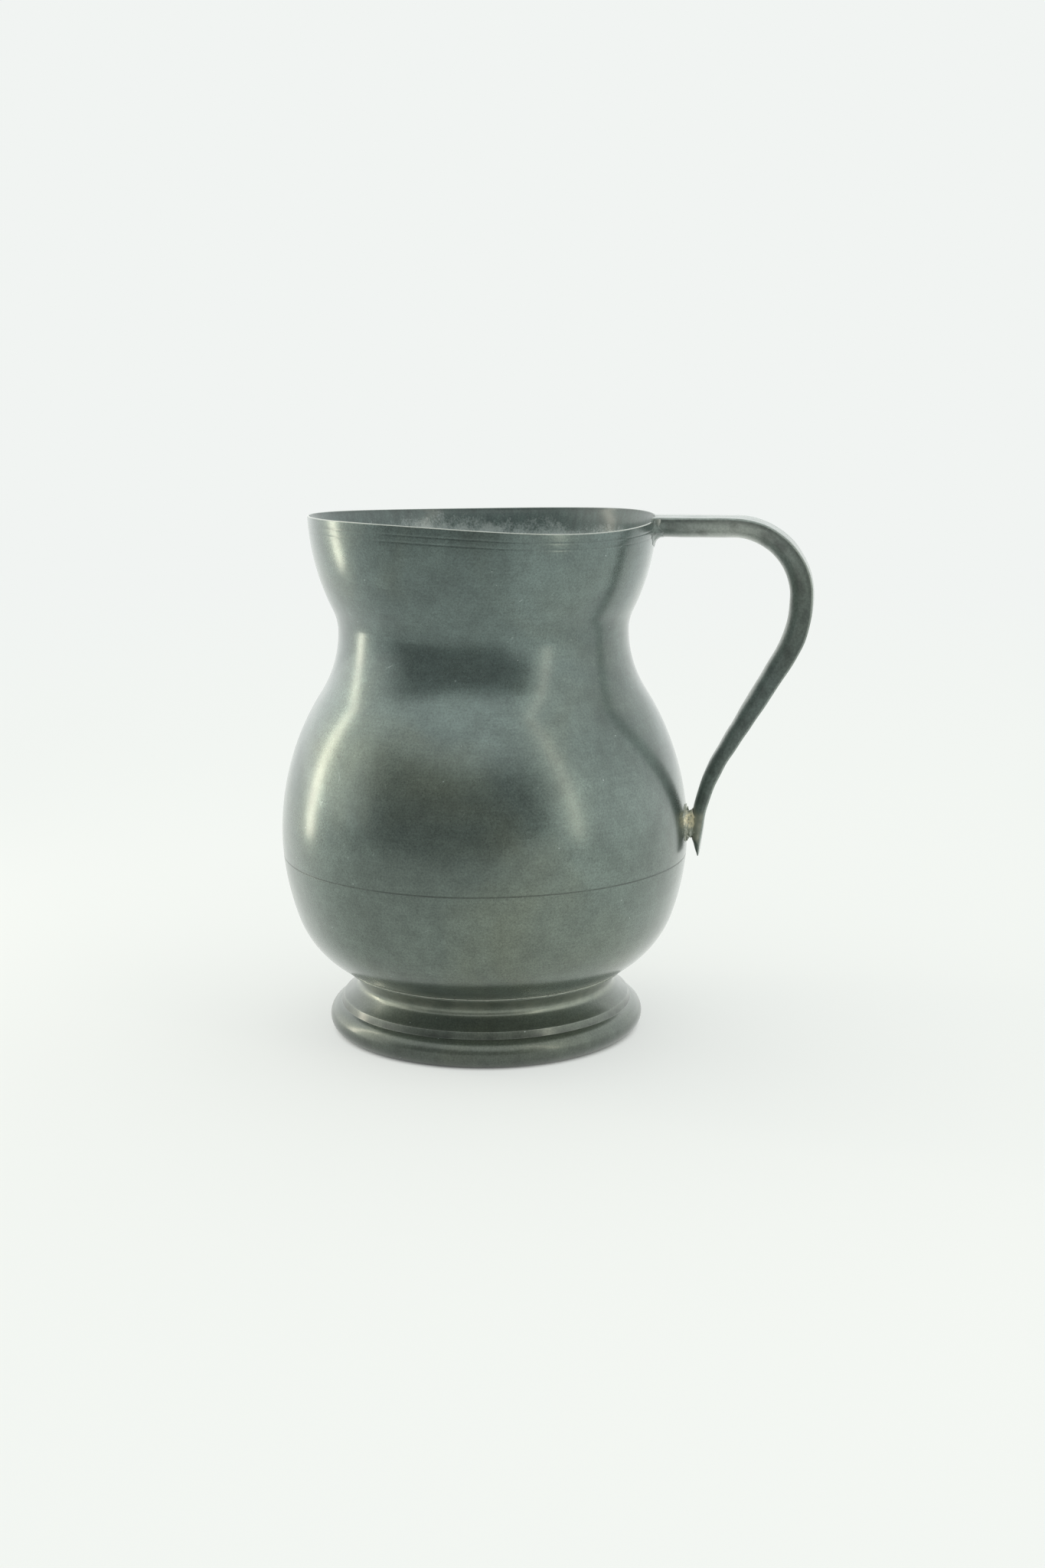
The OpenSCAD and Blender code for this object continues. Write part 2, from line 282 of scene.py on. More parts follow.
def hollow(start, end, depth, count=60):
    """A shallow arc from start to end that dips to the left of the chord by a depth: 4 depth t (1 - t)."""
    t = np.linspace(0, 1, count)[:, None]
    way = end - start
    aside = np.array([-way[1], way[0]]) / np.hypot(*way)
    return start + way * t + 4 * depth * t * (1 - t) * aside


def softened(line, reach, step=0.1 * MM):
    """The line with points a step apart and round corners: each point is the mean of those within a reach."""
    fine = evenly(line, step)
    side = max(1, round(reach / step / 2))
    wide = np.pad(fine, ((side, side), (0, 0)), mode="reflect", reflect_type="odd")
    window = np.ones(2 * side + 1) / (2 * side + 1)
    return np.column_stack([np.convolve(wide[:, k], window, "valid") for k in (0, 1)])


def marked(line, inner=0.0, wear_and_sheen=0.0, grime_and_shade=0.0, crust=0.0):
    """A line with a column more for each kind of mark."""
    return np.column_stack([line, *(np.broadcast_to(m, len(line)) for m in (inner, wear_and_sheen, grime_and_shade, crust))])


def lumps(points, size, seed, waves=14):
    """A smooth random field of about unit height: a sum of plane waves near one length, in random ways."""
    draw = np.random.default_rng(seed)
    way = draw.normal(size=(waves, 3))
    way *= (2 * np.pi / size * draw.uniform(0.6, 1.3, waves) / np.linalg.norm(way, axis=1))[:, None]
    phase = draw.uniform(0, 2 * np.pi, waves)
    return np.cos(points @ way.T + phase).sum(axis=-1) * math.sqrt(2 / waves)


def sweep_arcs(draw_in, rise, part):
    """Turn and radii of two tangent arcs between upright ends.

    The turn is 2 atan(draw_in / rise), and the radii are two parts of rise / sin turn.
    """
    turn = 2 * math.atan(draw_in / rise)
    both = rise / math.sin(turn)
    return turn, part * both, (1 - part) * both


def foot_marks(foot):
    """The foot's main points: middle of the roll, step, waist, flange, collar and radius of the inside."""
    roll = np.array([foot.foot_r - foot.roll_r, foot.roll_r])
    step = np.array([roll[0], 2 * foot.roll_r + foot.step_h])
    waist = np.array([foot.waist_r, foot.waist_z])
    collar = np.array([foot.flange_r, foot.collar_z])
    return roll, step, waist, collar - [0, foot.flange_h], collar, foot.waist_r - foot.wall


def body_line(jug, inset):
    """Profile (r, z) of the body from the hole in the bowl to the end of the flare, set in from the outside.

    Six tangent arcs. The bowl's two radii solve how far it draws in and drops from the belly to the collar.
    """
    body = jug.body
    collar, inside_r = foot_marks(jug.foot)[4:]
    hole_r = inside_r + jug.foot.ledge_w
    draw, drop = body.belly_r - collar[0], body.belly_z - collar[1]
    side = body.bowl_share * 2 * math.atan(draw / drop)
    a, b = 1 - math.cos(side), math.cos(side) - math.cos(body.bowl_end)
    c, d = math.sin(side), math.sin(body.bowl_end) - math.sin(side)
    side_r, turn_r = np.linalg.solve([[a, b], [c, d]], [draw, drop])
    side_at = np.array([body.belly_r - side_r, body.belly_z])
    turn_at = side_at + (side_r - turn_r) * np.array([math.cos(side), -math.sin(side)])
    hole = -math.acos((hole_r - turn_at[0]) / (turn_r - inset))
    bulge, bulge_r, hollow_r = sweep_arcs(body.belly_r - body.neck_r, body.neck_z - body.belly_z,
                                          body.shoulder_share)
    flare, throat_r, bell_r = sweep_arcs(body.flare_r - body.neck_r, body.flare_z - body.neck_z,
                                         body.flare_share)
    return chain(
        arc(turn_at, turn_r - inset, hole, -side),
        arc(side_at, side_r - inset, -side, 0),
        arc((body.belly_r - bulge_r, body.belly_z), bulge_r - inset, 0, bulge),
        arc((body.neck_r + hollow_r, body.neck_z), hollow_r + inset, np.pi + bulge, np.pi),
        arc((body.neck_r + throat_r, body.neck_z), throat_r + inset, np.pi, np.pi - flare),
        arc((body.flare_r - bell_r, body.flare_z), bell_r - inset, -flare, 0))


def wall_x(jug, y, z):
    """Distance from the axis plane to the outside of the body at (y, z): x = sqrt(r(z)^2 - y^2)."""
    line = body_line(jug, 0)
    r = np.interp(np.minimum(z, jug.body.jug_h), line[:, 1], line[:, 0])
    return np.sqrt(np.maximum(r ** 2 - y ** 2, 0))


def turned(line):
    """Points (r cos a, r sin a, z) of a profile turned about the axis."""
    a = np.linspace(0, 2 * np.pi, TURN_STEPS, endpoint=False)
    r, z = line[:, :1], line[:, 1:2]
    return np.stack([r * np.cos(a), r * np.sin(a), z + 0 * a], axis=-1)


def handled(points, jug):
    """Points bent as use and hand work bent the body.

    The rim rises by a Fourier series through its lifts, which fades out down to the neck, and the walls sway
    out and in by a slow random field.
    """
    body = jug.body
    a = np.arctan2(points[..., 1], points[..., 0])
    up = np.clip((points[..., 2] - body.neck_z) / (body.jug_h - body.neck_z), 0, 1)
    fade = up * up * (3 - 2 * up)
    lift = np.array(body.rim_lift)
    terms = np.arange(len(lift) // 2 + 1)
    doubled = np.where((terms == 0) | (terms == terms[-1]), 1, 2)
    series = np.exp(1j * a[..., None] * terms) @ (doubled * np.fft.rfft(lift) / len(lift))
    sway = body.sway * lumps(points, 46 * MM, 3)
    out = np.stack([np.cos(a) * sway, np.sin(a) * sway, fade * series.real], axis=-1)
    return points + out


# Pieces

def volume(points, triangles):
    """Six times the volume that triangles close, negative if they face inwards: the sum of p . (q x r)."""
    p, q, r = (points[triangles[:, k]] for k in range(3))
    return np.einsum("ij,ij->i", p, np.cross(q, r)).sum()


def add_piece(name, node, grid, material, marks=None, ring=True):
    """A closed piece, facing outwards, from a grid of points whose columns close on themselves.

    The rows close too where ring is true, and otherwise each end is closed by a fan about its middle.
    """
    rows, cols = grid.shape[:2]
    i = np.arange(rows if ring else rows - 1)[:, None] * cols
    j = np.arange(cols)
    k, below = (j + 1) % cols, (i + cols) % (rows * cols)
    quads = np.stack(np.broadcast_arrays(i + j, i + k, below + k, below + j), axis=-1).reshape(-1, 4)
    fans = np.empty((0, 3), int)
    points = grid.reshape(-1, 3)
    if not ring:
        first, last = rows * cols, (rows - 1) * cols
        points = np.vstack([points, grid[0].mean(axis=0), grid[-1].mean(axis=0)])
        start = np.stack([0 * j + first, k, j], axis=1)
        end = np.stack([0 * j + first + 1, last + j, last + k], axis=1)
        fans = np.concatenate([start, end])
    if volume(points, np.concatenate([quads[:, :3], quads[:, [0, 2, 3]], fans])) < 0:
        quads, fans = quads[:, ::-1], fans[:, ::-1]
    mesh = bpy.data.meshes.new(name)
    mesh.from_pydata(points, [], quads.tolist() + fans.tolist())
    mesh.shade_smooth()
    for key, values in (marks or {}).items():
        kept = np.broadcast_to(values, (rows, cols)).ravel()
        kept = np.pad(kept, (0, len(points) - len(kept)), mode="edge")
        mesh.attributes.new(key, "FLOAT", "POINT").data.foreach_set("value", kept.astype(np.float32))
    mesh.materials.append(material)
    mesh.validate()
    piece = bpy.data.objects.new(name, mesh)
    bpy.context.scene.collection.objects.link(piece)
    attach(piece, BODY)
    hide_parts(node)


def add_turned(name, node, line, material, jug, ring=True, rough=0.0):
    """A turned piece from a marked profile, bent with the body, with lumps of a given height."""
    grid = turned(line)
    if rough:
        ways = grid / np.linalg.norm(grid[..., :2], axis=-1, keepdims=True) * [1, 1, 0]
        grid = grid + ways * (rough * lumps(grid, 5 * MM, 11))[..., None]
    marks = {key: column[:, None] for key, column in zip(MARKS, line.T[2:])}
    add_piece(name, node, handled(grid, jug), material, marks, ring)


def upper_profile(jug):
    """Up the outside with its two cut lines, over the round lip, down the thinned inside and into the lap."""
    body = jug.body
    outer, inner, middle = (body_line(jug, t) for t in (0, body.wall, body.wall / 2))
    low, lap, top = body.seam_z + body.seam_w / 2, body.seam_z + body.lap_h, body.jug_h - body.lip_t / 2
    cut_from = top - 8 * MM
    plain = chain(between(outer, low, low + EDGE_ROW),
                  evenly(between(outer, low + EDGE_ROW, cut_from), 0.8 * MM))
    band = evenly(between(outer, cut_from, top), 0.11 * MM)
    drop = body.jug_h - band[:, 1:]
    cut = np.exp(-((drop - np.array(body.line_drops)) / body.line_w) ** 2).sum(axis=1)
    band[:, 0] -= body.line_depth * cut
    down = evenly(between(inner, lap, top), 0.8 * MM)[::-1]
    near = np.clip(1 - (top - down[:, 1]) / body.lip_h, 0, 1)
    down[:, 0] += (body.wall - body.lip_t) * near ** 2
    # Painted shade darkening the inside just below the rim
    shadow = 0.34 * np.exp((down[:, 1] - top) / (5 * MM)) + 0.2 * np.exp((down[:, 1] - top) / (0.5 * MM))
    ends = down[0, 0], band[-1, 0]
    lip = arc((np.mean(ends), top), np.ptp(ends) / 2, 0, np.pi, 13)
    across = np.linspace(0, 1, len(lip))
    tongue = evenly(between(middle, low, lap), 1 * MM)[::-1]
    rubbed = np.exp(-((across - 0.35) / 0.3) ** 2)
    return chain(marked(plain), marked(band, grime_and_shade=0.1 * cut),
                 marked(lip, inner=across, wear_and_sheen=rubbed, grime_and_shade=0.4 * across ** 2),
                 marked(down, inner=1, grime_and_shade=shadow), marked(tongue, inner=1))


def lower_profile(jug):
    """Up the outside of the bowl to the seam, over the lap and down the inside to the hole."""
    body = jug.body
    outer, inner, middle = (body_line(jug, t) for t in (0, body.wall, body.wall / 2))
    high, lap = body.seam_z - body.seam_w / 2, body.seam_z + body.lap_h
    up = chain(evenly(between(outer, outer[0, 1], high - EDGE_ROW), 0.7 * MM),
               between(outer, high - EDGE_ROW, high))
    tongue = evenly(between(middle, high, lap), 1 * MM)
    down = evenly(between(inner, inner[0, 1], lap), 1.1 * MM)[::-1]
    return chain(marked(up), marked(tongue, inner=1), marked(down, inner=1))


def foot_profile(jug):
    """Round the roll, up the step and the cove to the flange, in under the bowl and down the inside."""
    foot = jug.foot
    roll, step, waist, flange, _, inside_r = foot_marks(foot)
    under = body_line(jug, -foot.solder_t)
    hole_r = inside_r + foot.ledge_w
    seat_r = np.linspace(flange[0], hole_r, 12)
    seat = np.column_stack([seat_r, np.interp(seat_r, under[:ARC_POINTS, 0], under[:ARC_POINTS, 1])])
    seat[:, 1] = np.maximum(seat[:, 1], DISC[0].z)
    rest_r = roll[0] - foot.rest_w
    round_edge = arc(roll, foot.roll_r, -np.pi / 2, math.radians(80), 60)
    rise = evenly(np.vstack([round_edge[-1], step]), 0.1 * MM)
    edges = np.exp(-np.minimum(rise[:, 1] - rise[0, 1], step[1] - rise[:, 1]) / (0.2 * MM))
    cove = softened(chain(hollow(step, waist, foot.cove_low), hollow(waist, flange, foot.cove_high)),
                    foot.waist_round)
    above = np.clip((cove[:, 1] - waist[1]) / (flange[1] - waist[1]), 0, 1)
    below = np.clip((waist[1] - cove[:, 1]) / (waist[1] - step[1]), 0, 1)
    lip = evenly(np.vstack([flange, [flange[0], seat[0, 1]]]), 0.2 * MM)
    within = [[inside_r, DISC[0].z], [inside_r, waist[1] - 2 * MM], [rest_r - 1 * MM, 2 * foot.roll_r],
              [rest_r, 0]]
    # Dirt darkens the whole foot. Painted shade darkens the step above the roll, the lower cove and the cove
    # up under the flange, and the crust colour over the upper cove and the waist is a painted highlight
    return chain(
        marked(evenly(np.array([[rest_r, 0], [roll[0], 0]]), 1 * MM), grime_and_shade=0.3),
        marked(round_edge, grime_and_shade=0.52 - 0.3 * np.linspace(0, 1, len(round_edge)) ** 4),
        marked(rise, wear_and_sheen=0.04 + 0.3 * edges, grime_and_shade=0.7 - 0.3 * np.linspace(0, 1, len(rise))),
        marked(cove, wear_and_sheen=0.35 * below ** 24, grime_and_shade=0.42 * np.minimum(1, 3 * below) + 0.1 * above,
               crust=0.4 * np.exp(-(below / 0.2) ** 2)),
        marked(lip, grime_and_shade=0.2), marked(seat, inner=1), marked(evenly(np.array(within), 1 * MM), inner=1))


def disc_profile():
    """Across the underside of the floor, up its edge and back over the top, with faint turning rings."""
    low, high, edge = DISC[0].z, DISC[1].z, DISC[1].x - 0.04 * MM
    out = np.linspace(1 * MM, edge, 90)
    ring = 0.03 * MM * np.sin(2 * np.pi * out / (2.4 * MM))
    under, over = np.column_stack([out, low + ring]), np.column_stack([out, high + ring])
    return np.concatenate([marked(under, inner=1), marked(over[::-1], inner=1)])


def bar_stations(jug):
    """Stations x, z, heading, length, width and thickness along the outer face of the bar.

    The heading runs evenly through each bend, and x and z are the running sums of its cosine and sine. The
    two straights take up what the bends leave of the handle's reach and drop.
    """
    h = jug.handle
    tail_lean = h.lean - h.tail_turn
    drop = (h.top_bend_r + h.back_bend_r * math.sin(h.lean)
            + h.tail_bend_r * (math.sin(h.lean) - math.sin(tail_lean)) + h.tail_l * math.cos(tail_lean))
    run = (HANDLE[1].z - HANDLE[0].z - drop) / math.cos(h.lean)
    reach = HANDLE[1].x - h.wall_x - h.top_bend_r
    stretches = [reach, h.top_bend_r * np.pi / 2, h.back_bend_r * h.lean, run, h.tail_bend_r * h.tail_turn,
                 0.5 * h.tail_l, 0.5 * h.tail_l]
    ends = np.concatenate([[0], np.cumsum(stretches)])
    back = -np.pi / 2 - h.lean
    turns = [0, 0, -np.pi / 2, back, back, *[back + h.tail_turn] * 3]
    s = np.linspace(0, ends[-1], BAR_STEPS)
    heading = np.interp(s, ends, turns)
    step = np.diff(s) * np.exp(0.5j * (heading[1:] + heading[:-1]))
    way = np.concatenate([[0], np.cumsum(step)])
    ease = np.linspace(-4 * MM, 4 * MM, 9)
    thick = np.mean([np.interp(s + e, ends, h.thick) for e in ease], axis=0)
    thick = np.minimum(thick, np.interp(s, ends, h.thick) + 0.2 * MM)
    width = h.top_w + (h.tail_w - h.top_w) * s / ends[-1]
    keep = np.linspace(0, BAR_STEPS - 1, BAR_STATIONS).round().astype(int)
    stations = [h.wall_x + way.real, HANDLE[1].z + way.imag, heading, s, width, thick]
    return [line[keep] for line in stations]


def bar_grid(jug):
    """Rings of the bar at its stations, and its marks: a flat face, small round edges and a round inner side.

    A ring point is the station plus y across and d inwards, (x + d sin h, y, z - d cos h). The round side is
    the ellipse y = half cos a, d = c + b sin a, widest at the depth c. The first ring lies on the body's
    wall, sunk a little. The bar is rubbed where the hand holds it, has a painted highlight along the crown
    of its round side and painted shade under its edges, is dirty in patches, and is smeared with solder at
    its tail.
    """
    h = jug.handle
    x, z, heading, s, width, thick = (line[:, None] for line in bar_stations(jug))
    edge = np.minimum(h.edge_r, 0.2 * thick)
    widest = np.minimum(h.bulge, 0.25 * thick)
    half, deep = width / 2, thick - widest
    start = np.arcsin((edge - widest) / deep)
    t = np.linspace(0, 1, ROUND_POINTS)
    a = start + (np.pi - 2 * start) * t
    b = np.linspace(0, np.pi / 2, EDGE_POINTS)[1:-1]
    flat = np.linspace(-1, 1, FLAT_POINTS)
    corner = half * np.cos(start) - edge
    side, dip = corner + edge * np.sin(b), edge * (1 - np.cos(b))
    y = np.hstack([half * np.cos(a), -side[:, ::-1], corner * flat, side])
    d = np.hstack([widest + deep * np.sin(a), dip[:, ::-1], 0 * corner * flat, dip])
    grid = np.stack([x + d * np.sin(heading), y, z - d * np.cos(heading)], axis=-1)
    held = np.exp(-((s - 27 * MM) / (20 * MM)) ** 2)
    worn_edge = 0.3 + 0 * b
    rubbed = np.concatenate([np.exp(-((t - 0.5) / 0.6) ** 2), worn_edge, 0.2 + 0.1 * flat ** 8, worn_edge])
    up = grid[..., 2] - (STRUT[0].z + 0.8 * MM)
    down = STRUT[1].z - 2.4 * MM - grid[..., 2]
    smeared = 1 / (1 + np.exp(-up / (0.4 * MM))) / (1 + np.exp(-down / (0.5 * MM)))
    across = np.arange(grid.shape[1]) / (ROUND_POINTS - 1)
    round_side = across <= 1
    # A painted highlight along the crown of the round side, which faces the body
    crown_highlight = 0.9 * np.exp(-((across - 0.5) / 0.175) ** 2)
    # Painted shade under the edges of the flat face, darker near the root
    shade_under_edge = np.exp(-(np.minimum(across, 1 - across) / 0.05) ** 2) * (0.25 + 0.4 * np.exp(-s / (50 * MM)))
    patches = np.clip(0.3 * lumps(grid, 6 * MM, 12), 0, 0.4)
    # The wear mark holds real wear and the painted crown highlight, the grime mark painted edge shade and
    # dirt patches
    marks = {"wear_and_sheen": np.maximum(rubbed * np.where(round_side, 0.14 + 0.86 * held, 1), crown_highlight),
             "grime_and_shade": round_side * np.maximum(shade_under_edge, patches * (1 - crown_highlight)),
             "crust": smeared * round_side * (s > 0.7 * s.max())}
    grid[0, :, 0] = wall_x(jug, grid[0, :, 1], grid[0, :, 2]) - 0.6 * MM
    rough = 0.05 * MM * lumps(grid, 9 * MM, 7) + 0.16 * MM * marks["crust"] * lumps(grid, 2.2 * MM, 8)
    inwards = np.stack([np.sin(heading), 0 * heading, -np.cos(heading)], axis=-1)
    return grid + inwards * rough[..., None], marks


def fillet(jug, outline, normal, along, spread, sink=0.5 * MM):
    """A hollow fillet between the wall and what stands out of it along an outline of points (y, z).

    Each section is a parabola from A, along what stands out, by the corner C to B, out over the wall:
    (1 - q)^2 A + 2 q (1 - q) C + q^2 B. It returns inside both.
    """
    q = np.linspace(0, 1, FILLET_POINTS)[:, None]
    away = outline + normal * spread[:, None]
    deep = outline - normal * sink
    corner = np.column_stack([wall_x(jug, *outline.T), outline])
    a = corner + along[:, None] * [1, 0, 0]
    b = np.column_stack([wall_x(jug, *away.T), away])
    curve = (1 - q) ** 2 * a[:, None] + 2 * q * (1 - q) * corner[:, None] + q ** 2 * b[:, None]
    back = [b - [sink, 0, 0], np.column_stack([corner[:, 0] - sink, deep]), np.column_stack([a[:, 0], deep])]
    return np.concatenate([curve, np.stack(back, axis=1)], axis=1)


def root_solder_grid(jug):
    """The fillet round the handle's root, deepest below, with a bead at its front corner, and its marks.

    The bead swells the fillet away from a point inside it by a bell curve of the distance.
    """
    h = jug.handle
    a = np.linspace(0, np.pi, ROOT_POINTS)
    half, thick = h.top_w / 2, h.thick[0]
    outline = np.column_stack([half * np.cos(a), HANDLE[1].z - h.edge_r - (thick - h.edge_r) * np.sin(a)])
    normal = np.column_stack([np.cos(a) / half, -np.sin(a) / thick])
    normal /= np.linalg.norm(normal, axis=1)[:, None]
    below = np.sin(a) ** 2
    uneven = 1 + 0.22 * lumps(np.column_stack([outline, 0 * a]), 4 * MM, 5)
    grid = fillet(jug, outline, normal, h.root_along * (0.75 + 0.35 * below) * uneven,
                  h.root_spread * (0.55 + 0.9 * below) * uneven)
    bead_z = HANDLE[1].z - 1.3 * MM
    bead = np.array([wall_x(jug, -half, bead_z) + 2.2 * MM, -half - 0.2 * MM, bead_z])
    near = np.exp(-(np.linalg.norm(grid - bead, axis=-1) / (1.5 * h.bead_r)) ** 2)
    out = grid - (bead + [-0.6 * MM, 0.8 * MM, -0.4 * MM])
    out /= np.linalg.norm(out, axis=-1, keepdims=True)
    marks = {"wear_and_sheen": 0.12 + 0.8 * near, "grime_and_shade": 0.35 * (1 - near) * (lumps(grid, 2.4 * MM, 6) > 0.2)}
    front = np.arange(grid.shape[1]) < FILLET_POINTS
    return grid + out * (h.bead_r * near * front)[..., None], marks


def strut_ring(jug, grow, count):
    """Points and normals (y, z) of the strut's oval outline, grown by an amount, more above than below."""
    h = jug.handle
    t = np.linspace(0, 2 * np.pi, count, endpoint=False)
    middle = (STRUT[0].z + STRUT[1].z) / 2 - h.strut_drop
    oval = np.column_stack([h.strut_w / 2 * np.cos(t), h.strut_h / 2 * np.sin(t)])
    normal = oval / np.array([h.strut_w, h.strut_h]) ** 2
    normal /= np.linalg.norm(normal, axis=1)[:, None]
    swell = np.asarray(grow)[..., None] * (1 + 0.35 * np.sin(t))
    return oval + [0, middle] + normal * swell[..., None], normal


def bar_inner_x(jug, y, z, skin=0.0):
    """Distance from the axis plane to a skin over the bar's inner side near the tail, and its half width.

    The distance at (y, z) follows the half ellipse face - deep sqrt(1 - (y / half)^2).
    """
    x, at, _, _, width, thick = (line[TAIL_STATION:] for line in bar_stations(jug))
    order = np.argsort(at)
    face, wide, deep = (np.interp(z, at[order], line[order]) for line in (x, width, thick))
    half = wide / 2 + skin
    return face - (deep + skin) * np.sqrt(np.clip(1 - (y / half) ** 2, 0, 1)), half


def strut_grid(jug):
    """A lumpy spool from the belly to the bar, whose far end wraps the bar's inner side.

    The oval swells towards both ends as |2u - 1|^1.4. Beyond the bar's inner side its points stay a skin off
    the bar and spread to its edges, and the last ring sinks into the bar.
    """
    h = jug.handle
    u = np.linspace(0, 1, STRUT_RINGS)
    swell = h.strut_flare * np.where(u < 0.5, 1, 0.45) * np.abs(2 * u - 1) ** 1.4
    ring, normal = strut_ring(jug, swell, STRUT_POINTS)
    y, z = ring[..., 0], ring[..., 1]
    start, end = wall_x(jug, y, z) - 0.6 * MM, bar_inner_x(jug, y, z, h.strut_skin)[0]
    spool = np.stack([start + (end - start) * u[:, None], y, z], axis=-1)
    v = np.linspace(0, 1, WRAP_RINGS)[1:, None]
    low = z[-1].mean() + (z[-1] - z[-1].mean()) * (1 - 0.15 * v)
    half = bar_inner_x(jug, 0, low, h.strut_skin)[1]
    out = y[-1] + (0.9 * half * y[-1] / np.abs(y[-1]).max() - y[-1]) * v
    wrap = np.stack([bar_inner_x(jug, out, low, h.strut_skin)[0], out, low], axis=-1)
    sunk = wrap[-1:] * [1, 0.8, 1] + [0.9 * MM, 0, 0]
    grid = np.concatenate([spool, wrap, sunk])
    bump = lumps(grid, 4.2 * MM, 21) * 0.3 * MM + lumps(grid, 1.8 * MM, 22) * 0.12 * MM
    bump[STRUT_RINGS:] *= 0.3
    push = np.broadcast_to(np.insert(normal, 0, 0, axis=1), grid.shape)
    return grid + push * bump[..., None]


def crust_grid(jug):
    """A ragged fillet of solder on the belly round the strut's foot, widest beside it, with bumps along X."""
    h = jug.handle
    outline, normal = strut_ring(jug, 0.55 * h.strut_flare, CRUST_POINTS)
    spot = np.column_stack([outline, 0 * outline[:, :1]])
    ragged = 1 + 0.35 * lumps(spot, 4 * MM, 31)
    beside = 0.3 + 0.7 * normal[:, 0] ** 2
    grid = fillet(jug, outline, normal, 0.7 * MM * ragged, h.crust * ragged * beside)
    bump = MM * (0.11 + 0.15 * lumps(grid, 1.6 * MM, 32))
    return grid + np.stack([bump, 0 * bump, 0 * bump], axis=-1)


# Finishes

def add(tree, kind, feeds=(), out=0, **settings):
    """Adds a shader node and gives one of its outputs.

    Settings set its properties. Feeds, named or in order, are values or other nodes' outputs for its inputs.
    A MapRange is fed what it reads, the two ends that it reads between and the two ends that it gives.
    """
    made = tree.nodes.new("ShaderNode" + kind)
    for key, value in settings.items():
        setattr(made, key, value)
    for key, value in feeds.items() if isinstance(feeds, dict) else enumerate(feeds):
        if isinstance(value, bpy.types.NodeSocket):
            tree.links.new(value, made.inputs[key])
        else:
            made.inputs[key].default_value = value
    return made.outputs[out] if made.outputs else None


def blank(name):
    """A new material with an empty tree of nodes, and that tree."""
    material = bpy.data.materials.new(name)
    material.use_nodes = True
    material.node_tree.nodes.clear()
    return material, material.node_tree


def layered(tree, base, layers):
    """A base colour with layers over it, each a share that it covers and its colour."""
    for cover, over in layers:
        base = add(tree, "Mix", {"Factor": cover, MIX_A: base, MIX_B: over}, MIX_OUT, data_type="RGBA")
    return base


